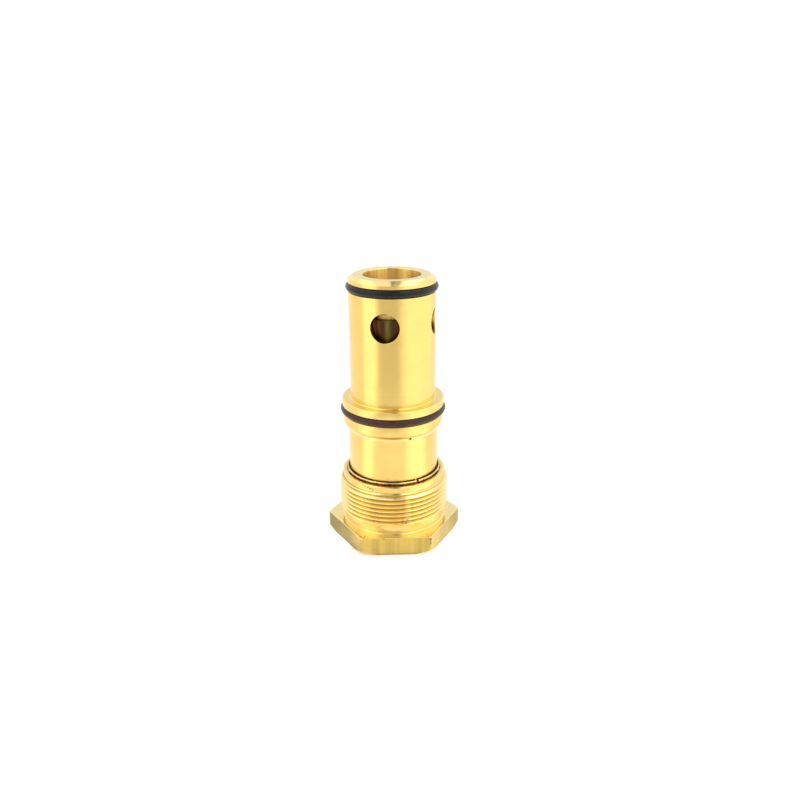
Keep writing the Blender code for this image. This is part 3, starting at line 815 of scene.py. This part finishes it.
def flared_rod(name, radius, height, turn, wall_radius, edge, sides):
    """A radial cutter that rounds the hole's edge where it leaves a round wall."""
    near, far = 8, wall_radius + 2
    flare = 1.5
    angle = math.radians(turn)
    outward = Vector((math.sin(angle), -math.cos(angle), 0))
    sideways = Vector((math.cos(angle), math.sin(angle), 0))
    rows = []
    for bend in (0, 20, 40, 60):
        rows.append((edge * (1 - math.cos(math.radians(bend))),
                     edge * (math.sin(math.radians(bend)) - 1)))
    wide, out = rows[-1]
    widest = wide + 0.87 * flare
    rows.append((widest, out + 0.5 * flare))
    mesh_data = bmesh.new()
    rings = []
    for wide, out in [(0, None)] + rows + [(widest, None)]:
        section = []
        for around in even_angles(sides):
            across = (radius + wide) * math.cos(around)
            reach = math.sqrt(wall_radius ** 2 - across ** 2) + out if out is not None else (
                far if rings else near)
            place = outward * reach + sideways * across
            place.z = height + (radius + wide) * math.sin(around)
            section.append(mesh_data.verts.new(place * MM))
        rings.append(section)
    join(mesh_data, rings)
    return finish_piece(name, mesh_data, [], None)


def true_normals(piece, radius):
    """Shades the faces that lie on a cylinder of `radius` as that cylinder."""
    mesh = piece.data
    normals = [Vector(corner.vector) for corner in mesh.corner_normals]
    for face in mesh.polygons:
        if abs(face.normal.z) > 0.02:
            continue
        for loop in face.loop_indices:
            place = mesh.vertices[mesh.loops[loop].vertex_index].co
            flat = Vector((place.x, place.y, 0))
            if abs(flat.length / MM - radius) < 0.02 and flat.dot(face.normal) > 0:
                normals[loop] = flat.normalized()
    mesh.normals_split_custom_set(normals)


def build_sleeve():
    """The turned sleeve with four side ports and a pin-sized vent."""
    sleeve = turned("sleeve_body", sleeve_outline(), 192, [turned_brass, bored_brass],
                    "sleeve", "valve_sleeve")
    for face in sleeve.data.polygons:
        if math.hypot(face.center.x, face.center.y) < (NOSE_BORE_RADIUS + 0.1) * MM:
            face.material_index = 1
    tools = [flared_rod(f"port_tool_{number}", PORT_RADIUS, PORT_HEIGHT,
                        PORT_TURN + 90 * number, TUBE_RADIUS, 0.22, SMALL_SEGMENTS)
             for number in range(4)]
    tools.append(flared_rod("vent_tool", VENT_RADIUS, VENT_HEIGHT, VENT_TURN, 15.4, 0.05, 24))
    cut(sleeve, tools)
    sleeve.data.set_sharp_from_angle(angle=math.radians(40))
    true_normals(sleeve, TUBE_RADIUS)


def o_ring(name, radius, height, section, materials, body, node):
    """An O-ring with the faint flash of its mould around its outside."""
    outline = []
    for around in even_angles(O_RING_SIDES):
        reach = section / 2 + (MOULD_FLASH if around == 0 else 0)
        outline.append((radius + reach * math.cos(around), height + reach * math.sin(around)))
    return turned(name, outline, TURNED_SEGMENTS, materials, body, node)


def build_sleeve_rings():
    o_ring("nose_seal_ring", NOSE_RING_RADIUS, middle(NOSE_RING), O_RING_SECTION,
           [black_rubber], "sleeve", "nose_o_ring")
    o_ring("flange_seal_ring", FLANGE_RING_RADIUS, middle(FLANGE_RING), O_RING_SECTION,
           [brown_rubber], "sleeve", "flange_o_ring")
    split_ring("snap_wire_ring", round_section(SNAP_RADIUS, middle(SNAP), SNAP_WIRE), 3, 30,
               [snap_wire], "sleeve", "snap_ring")
    split_ring("retaining_wire_ring",
               round_section(RETAINING_RADIUS, middle(RETAINING), RETAINING_WIRE), 14, 180,
               [spring_wire], "plug", "retaining_wire")


# ---------------------------------------------------------------- the screw plug

PLUG = Extent("hex_plug")
HEX_CORNER_RADIUS = 22.23
HEX_HEIGHT = 6.2
HEX_TURN = 1.8
HEX_CHAMFER_RADIUS = 20.2
HEX_CORNER_ROUND = 0.5
RELIEF_RADIUS = 17.0
COLLAR_RADIUS = 16.9
MOUTH_RADIUS = 15.5
MOUTH_DEPTH = 1.5
PLUG_BORE_FLOOR = 9.5
RECESS_RADIUS = 9.7
RECESS_DEPTH = 3.5
SCREW_HOLE_RADIUS = 6.0
PLUG_THREAD = Thread(radius=18.0, depth=0.92, pitch=1.5, bottom=8.6, top=20.9,
                     lead_radius=COLLAR_RADIUS)
THREAD_START = 90


def hexagon(angle):
    """The hexagon's outline, with slightly round corners."""
    flat = HEX_CORNER_RADIUS * math.cos(math.pi / 6)
    sixth = math.pi / 3
    from_corner = abs((angle - math.radians(HEX_TURN) + sixth / 2) % sixth - sixth / 2)
    centre = (flat - HEX_CORNER_ROUND) / math.cos(math.pi / 6)
    tangent = math.atan2(HEX_CORNER_ROUND / 2, centre + HEX_CORNER_ROUND * math.cos(math.pi / 6))
    if from_corner > tangent:
        return flat / math.cos(math.pi / 6 - from_corner)
    offset = centre * math.sin(from_corner)
    return centre * math.cos(from_corner) + math.sqrt(HEX_CORNER_ROUND ** 2 - offset ** 2)


def chamfer_height(radius):
    """The end's corners are chamfered at 30 degrees, and its sides stay whole."""
    return max(0, radius - HEX_CHAMFER_RADIUS) * math.tan(math.radians(30))


def on_hexagon(inset, above_chamfer=None, height=None):
    """A row on the hexagon, `inset` from its sides, at a height or above the end's chamfer."""
    def row(angle):
        radius = hexagon(angle) - inset
        return radius, chamfer_height(radius) + above_chamfer if height is None else height
    return row


def end_face_rim(angle):
    return min(hexagon(angle) - 0.2, HEX_CHAMFER_RADIUS - 0.05), 0


def plug_angles():
    """Even steps, with more beside the hexagon's corners."""
    degrees = [THREAD_START + 2.25 * step for step in range(160)]
    for corner in range(6):
        middle_turn = (HEX_TURN + 60 * corner - THREAD_START) % 360 + THREAD_START
        degrees = [turn for turn in degrees if abs(turn - middle_turn) > 1.3]
        degrees += [middle_turn + side * offset
                    for offset in (0.22, 0.43, 0.65, 1.2) for side in (-1, 1)] + [middle_turn]
    return [math.radians(turn) for turn in sorted(degrees)]


def build_plug():
    """The hexagonal screw plug with its thread, collar, stepped bore and screw recess."""
    bore = TAIL_RADIUS + CLEARANCE
    wire_groove = RETAINING_RADIUS + RETAINING_WIRE / 2 + CLEARANCE
    wire_half = RETAINING_WIRE / 2 + CLEARANCE
    upper = rounded([
        (bore, PLUG_BORE_FLOOR), (bore, middle(RETAINING) - wire_half, 0.05),
        (wire_groove, middle(RETAINING) - wire_half, 0.1),
        (wire_groove, middle(RETAINING) + wire_half, 0.1),
        (bore, middle(RETAINING) + wire_half, 0.05), (bore, PLUG.top - MOUTH_DEPTH, 0.1),
        (MOUTH_RADIUS, PLUG.top - MOUTH_DEPTH, 0.1), (MOUTH_RADIUS, PLUG.top - 0.25, 0.05),
        (MOUTH_RADIUS + 0.25, PLUG.top, 0.05), (COLLAR_RADIUS - 0.25, PLUG.top, 0.08),
        (COLLAR_RADIUS, PLUG.top - 0.25, 0.08), (COLLAR_RADIUS, 21.1)], closed=False)
    side_top = on_hexagon(0, height=HEX_HEIGHT - 0.15)
    side_bottom = on_hexagon(0, above_chamfer=0.12)
    lower = rounded([(RELIEF_RADIUS, 8.3), (RELIEF_RADIUS, HEX_HEIGHT, 0.35),
                     (18.3, HEX_HEIGHT)], closed=False)
    lower += [on_hexagon(0.14, height=HEX_HEIGHT), on_hexagon(0.04, height=HEX_HEIGHT - 0.04),
              side_top, side_bottom, on_hexagon(0.04, above_chamfer=0.03),
              on_hexagon(0.16, above_chamfer=0), end_face_rim]
    lower += rounded([
        (HEX_CHAMFER_RADIUS - 2, 0), (RECESS_RADIUS + 0.3, 0, 0.05), (RECESS_RADIUS, 0.3, 0.05),
        (RECESS_RADIUS, RECESS_DEPTH, 0.2), (SCREW_HOLE_RADIUS + 0.4, RECESS_DEPTH, 0.05),
        (SCREW_HOLE_RADIUS, RECESS_DEPTH + 0.4, 0.05), (SCREW_HOLE_RADIUS, PLUG_BORE_FLOOR)],
        closed=False)
    plug = threaded("screw_plug", PLUG_THREAD, upper, lower, plug_angles(),
                    [plug_brass, bar_brass], "plug", "hex_plug", side_rows=[side_bottom])
    weigh_normals(plug)


# ---------------------------------------------------------------- the piston and the poppet

PISTON = Extent("piston")
PISTON_RING = Extent("piston_o_ring")
GUIDE = Extent("piston_guide_ring")
POPPET = Extent("check_poppet")
POPPET_SEAL = Extent("poppet_seal")
WASHER = Extent("seal_retainer")
RETAINER = Extent("retainer_screw")
CLIP = Extent("stem_circlip")
CHECK_SPRING = Extent("check_spring")
PISTON_RADIUS = 11.0
CUP_RADIUS = 10.2
CUP_FLOOR = 72.4
PISTON_HOLLOW_RADIUS = 6.0
WEB_TOP = 66.0
WEB_BOTTOM = 61.6
STEM_RADIUS = 2.9
POPPET_UNDERSIDE = 74.5
CHECK_SPRING_RADIUS = 4.4
CHECK_SPRING_WIRE = 0.8
SCREW_HOLE = 2.1                # in the poppet
SCREW_HOLE_FLOOR = 69.5
SCREW_SHANK_RADIUS = 1.8
PISTON_SEAL_WIRE = 1.9
STAND_OUT = 0.15                # of a seal or a guide from the piece that holds it


def build_piston():
    """The piston with its cup, its seal and its guide ring."""
    pocket = CHECK_SPRING_RADIUS + CHECK_SPRING_WIRE / 2 + CLEARANCE
    foot_top = STOP_HEIGHT - CLEARANCE
    outline = rounded([
        (CUP_RADIUS, PISTON.top, 0.08), (PISTON_RADIUS, PISTON.top, 0.2),
        *groove(middle(PISTON_RING), 2.2, PISTON_RADIUS - 2.05, PISTON_RADIUS, PISTON_RADIUS),
        *groove(middle(GUIDE), GUIDE.top - GUIDE.bottom + 0.4, PISTON_RADIUS - 1.3,
                PISTON_RADIUS, PISTON_RADIUS),
        (PISTON_RADIUS, foot_top, 0.2), (PISTON.radius, foot_top, 0.15),
        (PISTON.radius, PISTON.bottom, 0.2), (PISTON_HOLLOW_RADIUS, PISTON.bottom, 0.2),
        (PISTON_HOLLOW_RADIUS, WEB_BOTTOM, 0.3), (STEM_RADIUS + CLEARANCE, WEB_BOTTOM, 0.1),
        (STEM_RADIUS + CLEARANCE, WEB_TOP, 0.1), (pocket, WEB_TOP, 0.2), (pocket, CUP_FLOOR, 0.1),
        (CUP_RADIUS, CUP_FLOOR, 0.2)])
    turned("piston_body", outline, TURNED_SEGMENTS, [shaded_bronze], "piston", "piston")
    o_ring("piston_seal_ring", PISTON_RADIUS + STAND_OUT - PISTON_SEAL_WIRE / 2,
           middle(PISTON_RING), PISTON_SEAL_WIRE, [black_rubber], "piston", "piston_o_ring")
    guide = flat_section(PISTON_RADIUS - 1.0, PISTON_RADIUS + STAND_OUT, GUIDE, 0.1, 0.15)
    split_ring("guide_band", guide, 6, 120, [guide_plastic], "piston", "piston_guide_ring")


def build_poppet():
    """The check poppet with its soft seal, washer, screw and clip."""
    outline = rounded([
        (0, SCREW_HOLE_FLOOR), (SCREW_HOLE, SCREW_HOLE_FLOOR, 0.1), (SCREW_HOLE, POPPET.top, 0.1),
        (POPPET.radius, POPPET.top, 0.2), (POPPET.radius, POPPET_UNDERSIDE, 0.3),
        (STEM_RADIUS, POPPET_UNDERSIDE, 0.3),
        *groove(middle(CLIP), 1.1, STEM_RADIUS - 0.8, STEM_RADIUS, STEM_RADIUS, 0.05, 0.05),
        (STEM_RADIUS, POPPET.bottom, 0.4), (0, POPPET.bottom)], closed=False)
    turned("poppet_body", outline, SMALL_SEGMENTS, [bored_brass], "poppet", "check_poppet",
           closed=False)
    seal = flat_section(SCREW_HOLE, POPPET_SEAL.radius, POPPET_SEAL, 0.1, 0.3)
    turned("poppet_seal_disc", seal, SMALL_SEGMENTS, [black_rubber], "poppet", "poppet_seal")
    washer = rounded([(SCREW_HOLE, WASHER.bottom, 0.05), (WASHER.radius, WASHER.bottom, 0.1),
                      (WASHER.radius, WASHER.top, 0.2), (SCREW_HOLE, WASHER.top, 0.1)])
    turned("seal_washer", washer, SMALL_SEGMENTS, [zinc_steel], "poppet", "seal_retainer")
    head_bottom = WASHER.top + 0.1
    screw = turned("poppet_screw", rounded([
        (0, RETAINER.bottom), (SCREW_SHANK_RADIUS, RETAINER.bottom, 0.3),
        (SCREW_SHANK_RADIUS, head_bottom, 0.1),
        (RETAINER.radius, head_bottom, 0.1), (RETAINER.radius, RETAINER.top, 0.6),
        (0, RETAINER.top)], closed=False), SMALL_SEGMENTS, [zinc_steel], "poppet",
        "retainer_screw", closed=False)
    cut(screw, [prism("screw_socket_tool", 1.45, head_bottom + 0.6, head_bottom + 3, 6)])
    clip = flat_section(STEM_RADIUS - 0.5, CLIP.radius, CLIP, 0.08, 0.15)
    split_ring("stem_clip", clip, 60, 0, [spring_wire], "poppet", "stem_circlip")
    spring = coil("check_coil", CHECK_SPRING_RADIUS, CHECK_SPRING, CHECK_SPRING_WIRE, 5.5,
                  "piston", "check_spring")
    shorten(spring)


def shorten(spring):
    """Gives a spring a mesh of its own."""
    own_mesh(spring)


# ---------------------------------------------------------------- the spring pack

SEAT = Extent("spring_seat")
SHIM = Extent("preload_shim")
BALL = Extent("thrust_ball")
MAIN_SPRING = Extent("main_spring")
ADJUSTER = Extent("adjusting_screw")
ADJUSTER_RING = Extent("adjusting_screw_o_ring")
LOCK_NUT = Extent("lock_nut")
SEAT_TOP = 15.4
MAIN_SPRING_RADIUS = 9.7
MAIN_SPRING_WIRE = 2.3
STOP_TUBE_RADIUS = 8.0
STOP_TUBE_BORE = 6.0
BALL_HEIGHT = 12.0
BALL_RADIUS = 2.5
ADJUSTER_RADIUS = 5.7
LOCK_NUT_CORNER = 9.24
ADJUSTER_SEAL_WIRE = 1.2
KEY_CORNER_RADIUS = 3.46        # of a 6 mm hex key


def build_spring_pack():
    """The spring seat with its stop tube, the shim, the ball and the main spring."""
    pocket = BALL_RADIUS + CLEARANCE
    seat = rounded([
        (0, BALL_HEIGHT + pocket), (1.2, BALL_HEIGHT + pocket - 0.3, 0.3),
        (pocket, SEAT.bottom + 0.3, 0.1), (pocket, SEAT.bottom, 0.05),
        (SEAT.radius, SEAT.bottom, 0.3), (SEAT.radius, SEAT_TOP, 0.15),
        (STOP_TUBE_RADIUS, SEAT_TOP, 0.25), (STOP_TUBE_RADIUS, SEAT.top, 0.4),
        (STOP_TUBE_BORE, SEAT.top, 0.15), (STOP_TUBE_BORE, SEAT_TOP + 2.6, 0.3),
        (0, SEAT_TOP + 2.6)], closed=False)
    turned("spring_seat_body", seat, SMALL_SEGMENTS, [bored_brass], "spring_seat", "spring_seat",
           closed=False)
    shim = flat_section(STOP_TUBE_RADIUS + CLEARANCE, SHIM.radius, SHIM, 0.1, 0.1)
    turned("shim_ring", shim, SMALL_SEGMENTS, [zinc_steel], "spring_seat", "preload_shim")
    steps = 32
    ball = [(BALL_RADIUS * math.sin(math.pi * step / steps),
             BALL_HEIGHT - BALL_RADIUS * math.cos(math.pi * step / steps))
            for step in range(1, steps)]
    ball = [(0, BALL.bottom)] + ball + [(0, BALL.top)]
    turned("ball", ball, 48, [spring_wire], "spring_seat", "thrust_ball", closed=False)
    spring = coil("main_coil", MAIN_SPRING_RADIUS, MAIN_SPRING, MAIN_SPRING_WIRE, 7.5,
                  "sleeve", "main_spring")
    shorten(spring)


def build_adjuster():
    """The socket screw that sets the load, its O-ring and its lock nut."""
    pocket = BALL_RADIUS + CLEARANCE
    neck_radius = ADJUSTER_RADIUS - 0.6
    thread = Thread(radius=ADJUSTER_RADIUS, depth=0.5, pitch=1.0, bottom=1.8, top=6.8,
                    lead_radius=neck_radius)
    upper = rounded([
        (0, BALL_HEIGHT - pocket), (1.2, BALL_HEIGHT - pocket + 0.3, 0.3),
        (pocket, ADJUSTER.top - 0.3, 0.1), (pocket, ADJUSTER.top, 0.05),
        (ADJUSTER_RADIUS, ADJUSTER.top, 0.4),
        *groove(middle(ADJUSTER_RING), 1.5, ADJUSTER_RADIUS - 1.25, ADJUSTER_RADIUS,
                ADJUSTER_RADIUS, 0.08, 0.15),
        (ADJUSTER_RADIUS, 7.15, 0.05), (neck_radius, 7.0)], closed=False)
    lower = rounded([(neck_radius, 1.65), (neck_radius - 0.25, ADJUSTER.bottom, 0.1),
                     (0, ADJUSTER.bottom)], closed=False)
    angles = [math.radians(THREAD_START) + angle for angle in even_angles(SMALL_SEGMENTS)]
    screw = threaded("load_screw", thread, upper, lower, angles, [zinc_steel], "adjuster",
                     "adjusting_screw")
    cut(screw, [prism("load_screw_socket_tool", KEY_CORNER_RADIUS, -1, ADJUSTER.bottom + 4, 6)])
    o_ring("load_screw_seal", ADJUSTER_RADIUS + STAND_OUT - ADJUSTER_SEAL_WIRE / 2,
           middle(ADJUSTER_RING), ADJUSTER_SEAL_WIRE, [black_rubber], "adjuster",
           "adjusting_screw_o_ring")
    nut = prism("locking_nut", LOCK_NUT_CORNER, LOCK_NUT.bottom, LOCK_NUT.top, 6, 12)
    nut.data.materials.append(zinc_steel)
    flat = LOCK_NUT_CORNER * math.cos(math.pi / 6)
    outside = turned("nut_chamfer_tool", rounded([
        (0, LOCK_NUT.bottom), (flat - 0.15, LOCK_NUT.bottom), (flat + 1.9, LOCK_NUT.bottom + 1.15),
        (flat + 1.9, LOCK_NUT.top - 1.15), (flat - 0.15, LOCK_NUT.top), (0, LOCK_NUT.top)],
        closed=False), SMALL_SEGMENTS, [], None, closed=False)
    cut(nut, [outside], "INTERSECT")
    bore = turned("nut_bore_tool", [
        (0, LOCK_NUT.bottom - 1), (SCREW_HOLE_RADIUS + 0.5, LOCK_NUT.bottom - 0.1),
        (SCREW_HOLE_RADIUS, LOCK_NUT.bottom + 0.4), (SCREW_HOLE_RADIUS, LOCK_NUT.top - 0.4),
        (SCREW_HOLE_RADIUS + 0.5, LOCK_NUT.top + 0.1), (0, LOCK_NUT.top + 1)],
        SMALL_SEGMENTS, [], None, closed=False)
    cut(nut, [bore])
    nut.data.set_sharp_from_angle(angle=math.radians(30))
    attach(nut, "plug")
    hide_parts("lock_nut")


# ---------------------------------------------------------------- the studio

CAMERA_PLACE = (0, -231.84, 132.58)
CAMERA_PITCH = 20.41            # degrees down
CAMERA_YAW = 0.56
CAMERA_ROLL = -0.34
LENS = 34.117
SENSOR = 36
FLOOR_RADIUS = 140


def build_camera():
    pitch, yaw, roll = map(math.radians, (CAMERA_PITCH, CAMERA_YAW, CAMERA_ROLL))
    forward = Vector((math.sin(yaw) * math.cos(pitch), math.cos(yaw) * math.cos(pitch),
                      -math.sin(pitch)))
    level = Vector((math.cos(yaw), -math.sin(yaw), 0))
    upright = level.cross(forward)
    right = level * math.cos(roll) + upright * math.sin(roll)
    up = upright * math.cos(roll) - level * math.sin(roll)
    camera_data = bpy.data.cameras.new("camera")
    camera_data.lens = LENS
    camera_data.sensor_width = SENSOR
    camera_data.clip_start = 0.01
    camera_data.clip_end = 20
    camera = bpy.data.objects.new("camera", camera_data)
    turn = Matrix((right, up, -forward)).transposed().to_4x4()
    camera.matrix_world = Matrix.Translation(Vector(CAMERA_PLACE) * MM) @ turn
    bpy.context.scene.collection.objects.link(camera)
    bpy.context.scene.camera = camera


BANDS = [                       # centre, half width, soft edge, added brightness
    (-9, 27, 16, -0.35),
    (-63, 19, 10, 0.42),
    (78, 46, 18, 0.30),
    (180, 16, 14, -0.20)]
FLOOR_BANDS = [                 # the same, for the floor
    (-64, 15, 12, 0.45),
    (58, 26, 16, 0.45)]
OVERHEAD = [                    # lowest and highest part towards +X, added brightness
    (-0.75, -0.33, 0.35),
    (-0.02, 0.17, -0.55),
    (0.22, 0.46, 0.9)]
CEILING = 0.62                  # lowest part upwards of the directions in OVERHEAD
SKY_LEVEL = 1.12
SEEN_WHITE = 1.05


def build_sky():
    """Soft light that varies with the direction, and plain white for the camera."""
    world = bpy.data.worlds.new("studio")
    sky = Nodes(world, "Generated")
    turn = sky.turn()
    level = SKY_LEVEL
    for band in BANDS:
        part = sky.band(turn, *band)
        part.node.interpolation_type = "SMOOTHSTEP"
        level = sky.math("ADD", part, level)
    for low, high, change in OVERHEAD:
        strip = sky.times(sky.math("GREATER_THAN", sky.x, low), sky.math("LESS_THAN", sky.x, high))
        strip = sky.times(strip, sky.math("GREATER_THAN", sky.z, CEILING))
        level = sky.math("ADD", level, sky.times(strip, change))
    shown = sky.add("LightPath").outputs["Is Camera Ray"]
    unseen = sky.math("SUBTRACT", 1.0, shown)
    background = sky.tree.nodes["Background"]
    background.inputs["Color"].default_value = (1, 1, 1, 1)
    sky.put(background.inputs["Strength"],
            sky.math("ADD", sky.times(shown, SEEN_WHITE), sky.times(unseen, level)))
    bpy.context.scene.world = world


def build_floor():
    """A pale floor, bright enough to hold almost no shadow."""
    graph = Graph("pale_floor", (0.93, 0.93, 0.93), 0.0, 0.75, Emission_Color=(1, 1, 1, 1))
    mottle = graph.noise(graph.place, 9, 3.0)
    graph.tint(graph.spread(mottle, 0.3, 0.7), (0.90, 0.90, 0.90))
    turn = graph.turn()
    glow = graph.step(graph.radius(), 52.5, 55, 0.16, 0.0)
    for band in FLOOR_BANDS:
        glow = graph.math("ADD", glow, graph.band(turn, *band))
    graph.put(graph.shader.inputs["Emission Strength"], glow)
    mesh_data = bmesh.new()
    rim = ring(mesh_data, FLOOR_RADIUS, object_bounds()[0].z / MM - 0.02, even_angles(64))
    mesh_data.faces.new(rim)
    floor = finish_piece("floor", mesh_data, [graph.material], None)


# ---------------------------------------------------------------- everything

build_sleeve()
build_sleeve_rings()
build_plug()
build_piston()
build_poppet()
build_spring_pack()
build_adjuster()

build_camera()
build_sky()
build_floor()
bpy.context.scene.view_settings.view_transform = "Standard"
